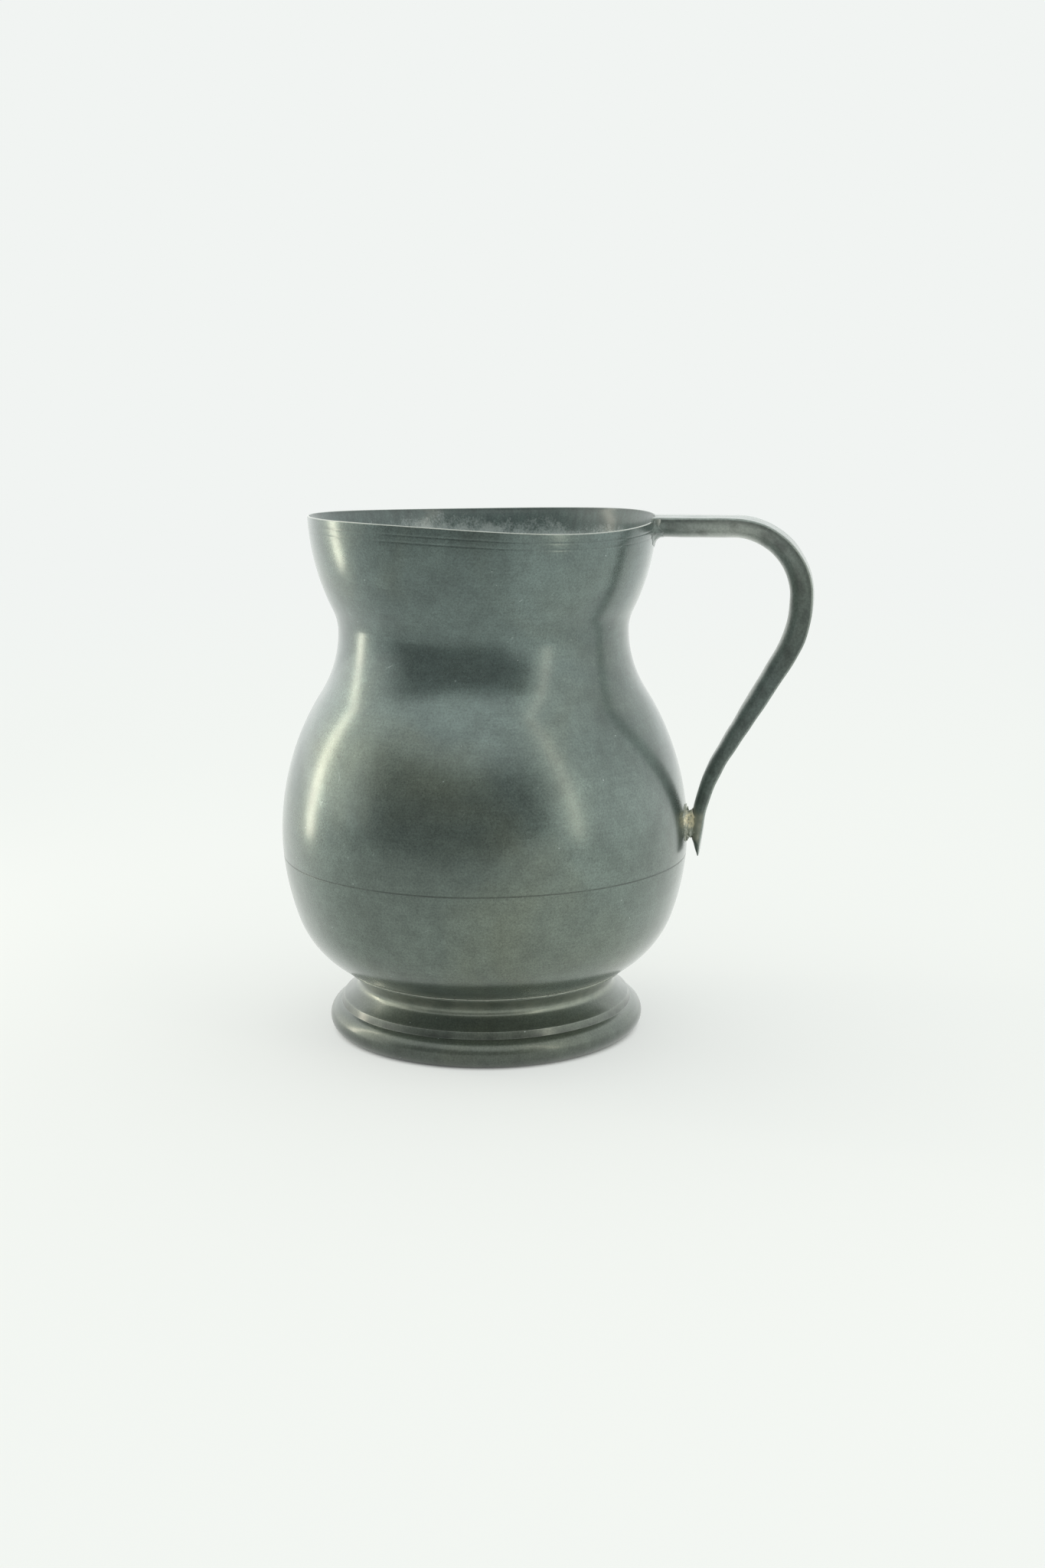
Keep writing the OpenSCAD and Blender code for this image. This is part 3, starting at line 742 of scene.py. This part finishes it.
def pewter(jug, name, grain, turning, dull, metallic, coat):
    """Cast pewter, turned and then dulled by age: a soft grey gloss under a greenish film.

    The eye gets a blurred mirror, cloudy patches some centimetres wide that are warmer towards the foot, fine
    level turning marks, a grain like frosted metal, edges rubbed bright, dirt in the recesses, painted shade
    below the rim inside, under the handle's edges and in the foot's hollows, painted highlights along the
    handle's inner side and over the foot's upper cove, a few pale and dark specks, short hair scratches, and
    a pale powder on the dull inside. The grain and the turning marks are drawn coarser than the real ones, so
    that they show.
    """
    finish = jug.finish
    material, tree = blank(name)
    place = add(tree, "TexCoord", out="Object")
    height = add(tree, "SeparateXYZ", [place], "Z")
    inner, wear_and_sheen, grime_and_shade, crust = (add(tree, "Attribute", out="Fac", attribute_name=key) for key in MARKS)

    # Noises: patches of the film, stains, mottling, grain, powder, and the drift that scratches follow
    cloud, stain, mottle, speckle, powder, drift = (
        add(tree, "TexNoise", {"Vector": place, "Scale": 1 / size, "Detail": detail, "Roughness": rough,
                               "Distortion": bent})
        for size, detail, rough, bent in (
            (30 * MM, 4, 0.6, 0), (55 * MM, 3, 0.5, 0.6), (6 * MM, 3, 0.6, 0), (grain, 2, 0.6, 0),
            (0.7 * MM, 3, 0.7, 0), (15 * MM, 0, 0.5, 0)))

    # Level turning marks on the outside, and upright runs on the inside
    marks, runs = (
        add(tree, "TexNoise", {
            "Vector": add(tree, "Mapping", {"Vector": place, "Scale": (1 / wide, 1 / wide, 1 / tall)}),
            "Scale": 1, "Detail": detail, "Roughness": rough})
        for wide, tall, detail, rough in ((30 * MM, 0.9 * MM, 3, 0.65), (2 * MM, 30 * MM, 2, 0.5)))

    # The film: darker where it is thick, warmer in stains and towards the foot, and broken by the fine marks
    clear = add(tree, "MapRange", (cloud, 0.36, 0.64))
    warm_patch = add(tree, "MapRange", (stain, 0.5, 0.72, 0, 0.4))
    warm_foot = add(tree, "MapRange", (height, 130 * MM, 10 * MM, 0, 0.4))
    warmth = add(tree, "Math", (warm_patch, warm_foot), operation="ADD", use_clamp=True)
    film = layered(tree, finish.shade, ((clear, finish.pewter), (warmth, finish.warm)))
    grainy = add(tree, "MapRange", (speckle, 0.25, 0.75, 0.7, 1.3))
    lined = add(tree, "MapRange", (marks, 0.3, 0.7, 1 - turning, 1 + turning))
    cloudy = add(tree, "MapRange", (mottle, 0.3, 0.7, 0.87, 1.13))
    fine = add(tree, "Math", (grainy, lined), operation="MULTIPLY")
    tone = add(tree, "Math", (fine, cloudy), operation="MULTIPLY")
    toned = add(tree, "VectorMath", {0: film, "Scale": tone}, operation="SCALE")

    # Inside: fine powder further down, in one wide heap and two small ones
    depth = add(tree, "MapRange", (height, 177 * MM, 168 * MM, -0.42, 0.14))
    sifted = add(tree, "Math", (powder, 0.7, depth), operation="MULTIPLY_ADD")
    piled = add(tree, "Math", (mottle, 0.9, sifted), operation="MULTIPLY_ADD")
    # Each heap: its middle, the radii of its edge and of its core, and what it adds at both
    heaps = (((-15 * MM, 53 * MM, 168 * MM), 110 * MM, 15 * MM, -0.3, 0.1),
             ((-26 * MM, 51 * MM, 174 * MM), 11 * MM, 2 * MM, 0.0, 0.16),
             ((40 * MM, 38 * MM, 168 * MM), 12 * MM, 3 * MM, 0.0, 0.16))
    for heap_at, edge_r, core_r, at_edge, at_core in heaps:
        away = add(tree, "VectorMath", (place, heap_at), "Value", operation="DISTANCE")
        more = add(tree, "MapRange", (away, edge_r, core_r, at_edge, at_core))
        piled = add(tree, "Math", (piled, more), operation="ADD")
    bloom = add(tree, "MapRange", (piled, 0.66, 1.0, 0, 0.8))
    streaked = add(tree, "MapRange", (runs, 0.3, 0.7, 0.84, 1.16))
    inner_grain = add(tree, "Math", (grainy, streaked), operation="MULTIPLY")
    inner_tone = add(tree, "VectorMath", {0: finish.inside[:3], "Scale": inner_grain}, operation="SCALE")
    within = layered(tree, inner_tone, [(bloom, finish.bloom)])

    # Rubbed edges and the painted highlight on the handle's inner side, broken by the grain; dirt with
    # painted shade; and solder run over the tail of the handle, which over the foot's upper cove is a painted
    # highlight
    rubbed = add(tree, "Math", (wear_and_sheen, grainy), operation="MULTIPLY", use_clamp=True)
    uneven = add(tree, "MapRange", (mottle, 0.35, 0.65, 0.6, 1.3))
    dirt, smeared = (add(tree, "Math", (mark, uneven), operation="MULTIPLY") for mark in (grime_and_shade, crust))

    # Pale specks and dark pits in a few cells, and short hair scratches along the level lines of a slow noise
    cell = add(tree, "TexVoronoi", {"Vector": place, "Scale": 1 / (5 * MM)}, "Color")
    dot = add(tree, "MapRange", (cell.node.outputs["Distance"], 0.055, 0.025, 0, 0.6))
    specks, pits = (
        add(tree, "Math", (dot, add(tree, "Math", (cell, limit), operation=test)), operation="MULTIPLY")
        for limit, test in ((0.58, "GREATER_THAN"), (0.3, "LESS_THAN")))
    line = add(tree, "Math", (drift, 0.5, 0.002), operation="COMPARE")
    where = add(tree, "MapRange", (mottle, 0.62, 0.7, 0, 0.35))
    hair = add(tree, "Math", (line, where), operation="MULTIPLY")
    pale = add(tree, "Math", (specks, hair), operation="MAXIMUM")
    outer = add(tree, "Math", (1.0, inner), operation="SUBTRACT")
    flecks = add(tree, "Math", (pale, outer), operation="MULTIPLY")
    shown = layered(tree, toned, (
        (inner, within), (rubbed, finish.worn_and_sheen), (dirt, finish.grime_and_shade), (smeared, finish.crust),
        (flecks, finish.bloom), (pits, finish.grime_and_shade)))

    # Gloss: blurred by the film, duller where greased on the shoulder, inside, and where dirty, painted with
    # shade or crusted
    greased = (48.5 * MM, -25.5 * MM, 118 * MM)
    from_grease = add(tree, "VectorMath", (place, greased), "Value", operation="DISTANCE")
    smudge = add(tree, "MapRange", (from_grease, 38 * MM, 14 * MM, 0, 0.3))
    gloss = add(tree, "MapRange", (cloud, 0.3, 0.7, dull + 0.04, dull - 0.04))
    for part, weight in ((speckle, 0.1), (smudge, 1.0), (inner, 0.26), (grime_and_shade, 0.25), (crust, 0.2)):
        gloss = add(tree, "Math", (part, weight, gloss), operation="MULTIPLY_ADD")

    # Powder and specks hide the metal
    powdery = add(tree, "Math", (bloom, inner), operation="MULTIPLY")
    covered = add(tree, "Math", (powdery, flecks), operation="MAXIMUM")
    film_metal = add(tree, "MapRange", (inner, 0, 1, metallic, 0.3))
    metal = add(tree, "MapRange", (covered, 0, 1, film_metal, 0.1))
    relief = add(tree, "Math", (speckle, marks), operation="ADD")
    bump = add(tree, "Bump", {"Strength": 0.08, "Distance": 0.05 * MM, "Height": relief})
    surface = add(tree, "BsdfPrincipled", {
        "Base Color": shown, "Metallic": metal, "Roughness": gloss, "Normal": bump,
        "Coat Weight": coat, "Coat Roughness": 0.19})
    add(tree, "OutputMaterial", {"Surface": surface})
    return material


def soft_solder(jug, name, flux):
    """Soft solder melted on by hand: dull grey and lumpy, with cream flux left on it where there is any.

    The flux lies in two crusts at the front of the strut and in smaller patches elsewhere.
    """
    finish = jug.finish
    material, tree = blank(name)
    place = add(tree, "TexCoord", out="Object")
    patch, pit = (
        add(tree, "TexNoise", {"Vector": place, "Scale": 1 / size, "Detail": detail, "Roughness": 0.6,
                               "Distortion": bent})
        for size, detail, bent in ((2.6 * MM, 4, 0.8), (1.3 * MM, 3, 0)))
    cream = add(tree, "MapRange", (patch, 0.6, 0.68, 0, 0.5 * flux))
    # Each crust: its middle and its radius
    crusts = (((73 * MM, -4.8 * MM, 76.6 * MM), 4.2 * MM), ((69.6 * MM, -8 * MM, 76.8 * MM), 2.6 * MM))
    for crust_at, crust_r in crusts:
        near = add(tree, "VectorMath", (place, crust_at), "Value", operation="DISTANCE")
        far = add(tree, "Math", (near, crust_r), operation="DIVIDE")
        edge = add(tree, "Math", (patch, -2.0, far), operation="MULTIPLY_ADD")
        crust = add(tree, "MapRange", (edge, -0.1, -0.5, 0, flux))
        cream = add(tree, "Math", (cream, crust), operation="MAXIMUM")
    dark = add(tree, "MapRange", (pit, 0.44, 0.34, 0, 0.3 + 0.3 * flux))
    shown = layered(tree, finish.solder, ((cream, finish.residue), (dark, finish.grime_and_shade)))
    metal = add(tree, "MapRange", (cream, 0, 1, 0.35, 0.05))
    gloss = add(tree, "MapRange", (cream, 0, 1, 0.42, 0.75))
    bump = add(tree, "Bump", {"Strength": 0.4, "Distance": 0.2 * MM, "Height": pit})
    surface = add(tree, "BsdfPrincipled", {
        "Base Color": shown, "Metallic": metal, "Roughness": gloss, "Normal": bump})
    add(tree, "OutputMaterial", {"Surface": surface})
    return material


def finish_named(jug, name):
    """The finish of that name, made the first time it is asked for.

    A pewter has its grain's size, depth of turning marks, roughness, metal and coat, and a solder its flux.
    """
    finishes = {
        "turned_pewter": (pewter, 0.6 * MM, 0.06, 0.24, 0.72, 0.8),
        "cast_pewter": (pewter, 0.8 * MM, 0.02, 0.42, 0.5, 0.7),
        "oxidised_pewter": (pewter, 0.8 * MM, 0.04, 0.3, 0.7, 0.7),
        "soft_solder": (soft_solder, 0),
        "fluxed_solder": (soft_solder, 1),
    }
    maker, *values = finishes[name]
    return bpy.data.materials.get(name) or maker(jug, name, *values)


# Operators

class JUG_OT_castings(bpy.types.Operator):
    """Make the two body castings"""

    bl_idname = "jug.castings"
    bl_label = "Body castings"

    def execute(self, context):
        jug = context.scene.jug
        finish = finish_named(jug, "turned_pewter")
        add_turned("upper_casting", "upper_body", upper_profile(jug), finish, jug)
        add_turned("bowl_casting", "lower_body", lower_profile(jug), finish, jug)
        return {"FINISHED"}


class JUG_OT_foot(bpy.types.Operator):
    """Make the moulded foot and the floor above it"""

    bl_idname = "jug.foot"
    bl_label = "Foot and floor"

    def execute(self, context):
        jug = context.scene.jug
        add_turned("moulded_foot", "foot_ring", foot_profile(jug),
                   finish_named(jug, "turned_pewter"), jug)
        add_turned("floor_disc", "base_disc", disc_profile(),
                   finish_named(jug, "oxidised_pewter"), jug, ring=False)
        return {"FINISHED"}


class JUG_OT_rings(bpy.types.Operator):
    """Make the rings of solder at the seam, the collar and the floor"""

    bl_idname = "jug.rings"
    bl_label = "Rings of solder"

    def execute(self, context):
        jug = context.scene.jug
        body, foot = jug.body, jug.foot
        low, high = body.seam_z - body.seam_w / 2, body.seam_z + body.seam_w / 2
        face = evenly(between(body_line(jug, body.seam_dip), low, high), EDGE_ROW)
        back = evenly(between(body_line(jug, body.wall / 2), low, high), 0.2 * MM)[::-1]
        seam = chain(marked(face, grime_and_shade=0.48), marked(back))
        add_turned("seam_line", "belly_seam_solder", seam,
                   finish_named(jug, "oxidised_pewter"), jug)
        collar, inside_r = foot_marks(foot)[4:]
        at = np.linspace(inside_r + foot.ledge_w, collar[0] + 0.1 * MM, 24)
        sides = [body_line(jug, t)[:ARC_POINTS] for t in (0.05 * MM, -foot.solder_t)]
        top, under = (np.column_stack([at, np.interp(at, line[:, 0], line[:, 1])]) for line in sides)
        nose = (top[-1:] + under[-1:]) / 2 + [0.25 * MM, 0]
        solder = finish_named(jug, "soft_solder")
        add_turned("collar_solder", "foot_solder", np.concatenate([under, nose, top[::-1]]), solder,
                   jug, rough=0.05 * MM)
        dished = arc((inside_r - foot.fillet, DISC[0].z - foot.fillet), foot.fillet, np.pi / 2, 0, 9)
        sunk_r, sunk_z = inside_r + 0.1 * MM, DISC[0].z + 0.05 * MM
        corner = [[sunk_r, DISC[0].z - foot.fillet], [sunk_r, sunk_z], [inside_r - foot.fillet, sunk_z]]
        add_turned("floor_solder", "base_disc_solder", chain(dished, np.array(corner)), solder, jug,
                   rough=0.12 * MM)
        return {"FINISHED"}


class JUG_OT_handle(bpy.types.Operator):
    """Make the handle"""

    bl_idname = "jug.handle"
    bl_label = "Handle"

    def execute(self, context):
        jug = context.scene.jug
        grid, marks = bar_grid(jug)
        cast = finish_named(jug, "cast_pewter")
        add_piece("strap_handle", "handle", grid, cast, marks, ring=False)
        return {"FINISHED"}


class JUG_OT_handle_solder(bpy.types.Operator):
    """Make the strut behind the tail and the solder at both ends of the handle"""

    bl_idname = "jug.handle_solder"
    bl_label = "Strut and handle solder"

    def execute(self, context):
        jug = context.scene.jug
        fluxed, cast = finish_named(jug, "fluxed_solder"), finish_named(jug, "cast_pewter")
        add_piece("tail_strut", "handle_strut", handled(strut_grid(jug), jug), fluxed, ring=False)
        add_piece("strut_crust", "strut_solder", handled(crust_grid(jug), jug), fluxed)
        grid, marks = root_solder_grid(jug)
        add_piece("root_fillet", "rim_solder", grid, cast, marks, ring=False)
        return {"FINISHED"}


class JUG_OT_stage(bpy.types.Operator):
    """Make the floor, the light and the camera"""

    bl_idname = "jug.stage"
    bl_label = "Stage"

    def execute(self, context):
        jug = context.scene.jug
        context.scene.view_settings.view_transform = "Standard"
        make_camera(context.scene, jug.stage)
        make_floor(context.scene, jug.stage)
        make_tent(context.scene, jug.stage)
        make_lamps(context.scene, jug.stage)
        return {"FINISHED"}


# Stage

def make_camera(scene, stage):
    """A 50 mm lens, aimed as the jug is seen: turned about the axis, tilted down and rolled a little."""
    data = bpy.data.cameras.new("view")
    data.lens, data.sensor_width = 50, 36
    camera = bpy.data.objects.new("view", data)
    turn = Matrix.Rotation(stage.turn, 4, "Z")
    place = turn @ Matrix.Translation((stage.aside, -stage.back, stage.height))
    aim = Matrix.Rotation(math.pi / 2 - stage.tilt, 4, "X") @ Matrix.Rotation(stage.roll, 4, "Z")
    camera.matrix_world = place @ aim
    scene.collection.objects.link(camera)
    scene.camera = camera


def bearing(tree, way, turn):
    """Angle of a direction round the axis, from the line to the camera towards the right."""
    front = add(tree, "VectorRotate", {"Vector": way, "Angle": -turn}, rotation_type="Z_AXIS")
    across = add(tree, "SeparateXYZ", [front], "X")
    toward = add(tree, "Math", (across.node.outputs["Y"], -1.0), operation="MULTIPLY")
    return add(tree, "Math", (across, toward), operation="ARCTAN2")


def band(tree, edges):
    """A mask between soft edges: each rises from 0 to 1 between two angles in degrees, and they multiply."""
    mask = 1.0
    for angle_at, start, end in edges:
        ends = math.radians(start), math.radians(end)
        edge = add(tree, "MapRange", (angle_at, *ends), interpolation_type="SMOOTHSTEP")
        mask = add(tree, "Math", (mask, edge), operation="MULTIPLY")
    return mask


def make_floor(scene, stage):
    """A flat white floor that fades into the backdrop far from the jug, in full shadow under the foot's edge.

    What mirrors it shows it darker in front and a little brighter elsewhere.
    """
    wide = 30.0
    corners = [(-wide, -wide, 0), (wide, -wide, 0), (wide, wide, 0), (-wide, wide, 0)]
    mesh = bpy.data.meshes.new("floor")
    mesh.from_pydata(corners, [], [(0, 1, 2, 3)])
    material, tree = blank("white_floor")
    place = add(tree, "TexCoord", out="Object")
    far = add(tree, "VectorMath", [place], "Value", operation="LENGTH")
    fade = add(tree, "MapRange", (far, 0.35, 1.6, stage.floor_glow), interpolation_type="SMOOTHSTEP")
    touch = add(tree, "MapRange", (far, FOOT[1].x - 4.5 * MM, FOOT[1].x - 0.5 * MM))
    open_floor = add(tree, "Math", (fade, touch), operation="MULTIPLY")
    round_at = bearing(tree, place, stage.turn)
    front = band(tree, [(round_at, -95, -60), (round_at, 35, 5)])
    right = band(tree, [(round_at, 60, 85)])
    seen = add(tree, "LightPath", out="Is Camera Ray")
    mirrored = add(tree, "Math", (1.0, seen), operation="SUBTRACT")
    shaded = add(tree, "Math", (mirrored, front), operation="MULTIPLY")
    dark = add(tree, "MapRange", (far, 0.05, 0.8, 0.9, 1 - stage.floor_front))
    side = add(tree, "MapRange", (right, 0, 1, 1.15, 1.25))
    bright = add(tree, "MapRange", (seen, 0, 1, side, 1.0))
    level = add(tree, "MapRange", (shaded, 0, 1, bright, dark))
    matte = add(tree, "BsdfDiffuse", {"Color": stage.floor})
    glow = add(tree, "Emission", {"Color": stage.pale, "Strength": level})
    mixed = add(tree, "MixShader", (open_floor, matte, glow))
    add(tree, "OutputMaterial", {"Surface": mixed})
    mesh.materials.append(material)
    floor = bpy.data.objects.new("floor", mesh)
    scene.collection.objects.link(floor)


def make_tent(scene, stage):
    """A white tent round the jug with an open, darker front. The camera sees its plain backdrop."""
    world = bpy.data.worlds.new("tent")
    world.use_nodes = True
    tree = world.node_tree
    tree.nodes.clear()
    way = add(tree, "TexCoord", out="Generated")
    round_at = bearing(tree, way, stage.turn)
    height = add(tree, "SeparateXYZ", [way], "Z")
    above = add(tree, "Math", [height], operation="ARCSINE")
    opening = band(tree, [(round_at, -88, -55), (round_at, 45, 33), (above, 40, 26)])
    left = band(tree, [(round_at, -55, -95), (round_at, -150, -125), (above, 70, 40)])
    level = add(tree, "MapRange", (opening, 0, 1, stage.tent, stage.opening))
    tent = add(tree, "Background", {"Color": stage.pale, "Strength": level})
    glow = add(tree, "Math", (left, stage.side_glow), operation="MULTIPLY")
    lit = add(tree, "Background", {"Color": stage.lamp, "Strength": glow})
    tent_all = add(tree, "AddShader", (tent, lit))
    plain = add(tree, "Background", {"Color": stage.pale, "Strength": 1.0})
    seen = add(tree, "LightPath", out="Is Camera Ray")
    both = add(tree, "MixShader", (seen, tent_all, plain))
    add(tree, "OutputWorld", {"Surface": both})
    scene.world = world


def make_lamps(scene, stage):
    """Two tall lamps, set by bearing from the line to the camera, distance, width, ends, lean and brightness.

    The left one is in two parts, so that its lower end is brighter.
    """
    lamps = {
        "left_lamp": (-106, 440 * MM, 60 * MM, 160 * MM, 420 * MM, 0, 0.94 * stage.left_light),
        "left_lamp_low": (-106, 440 * MM, 60 * MM, 20 * MM, 160 * MM, 0, 1.3 * stage.left_light),
        "right_lamp": (44.5, 450 * MM, 44 * MM, 75 * MM, 650 * MM, 8, stage.right_light),
    }
    for name, (round_at, away, wide, low, high, lean, glow) in lamps.items():
        data = bpy.data.lights.new(name, "AREA")
        data.shape = "RECTANGLE"
        data.size, data.size_y = wide, high - low
        data.energy = glow * math.pi * wide * (high - low)
        data.color = stage.lamp[:3]
        lamp = bpy.data.objects.new(name, data)
        turn = Matrix.Rotation(stage.turn + math.radians(round_at), 4, "Z")
        place = Matrix.Translation((0, -away, (low + high) / 2))
        upright = Matrix.Rotation(math.pi / 2, 4, "X") @ Matrix.Rotation(math.radians(lean), 4, "Z")
        lamp.matrix_world = turn @ place @ upright
        lamp.visible_camera = False
        scene.collection.objects.link(lamp)


class JUG_PT_panel(bpy.types.Panel):
    """Lists the steps that make the jug"""

    bl_idname = "JUG_PT_panel"
    bl_label = "Bellied jug"
    bl_space_type = "VIEW_3D"
    bl_region_type = "UI"
    bl_category = "Jug"

    def draw(self, context):
        for step in STEPS:
            self.layout.operator(step.bl_idname)


STEPS = (JUG_OT_stage, JUG_OT_castings, JUG_OT_foot, JUG_OT_rings, JUG_OT_handle, JUG_OT_handle_solder)
CLASSES = (JugBody, JugFoot, JugHandle, JugFinish, JugStage, JugSettings, *STEPS, JUG_PT_panel)


def register():
    """Adds the classes and the jug's settings."""
    for one in CLASSES:
        bpy.utils.register_class(one)
    bpy.types.Scene.jug = bpy.props.PointerProperty(type=JugSettings)


def unregister():
    """Takes them away again."""
    del bpy.types.Scene.jug
    for one in reversed(CLASSES):
        bpy.utils.unregister_class(one)


def main():
    """Makes the stage and every piece."""
    register()
    bpy.ops.jug.stage()
    bpy.ops.jug.castings()
    bpy.ops.jug.foot()
    bpy.ops.jug.rings()
    bpy.ops.jug.handle()
    bpy.ops.jug.handle_solder()


if __name__ == "__main__":
    main()
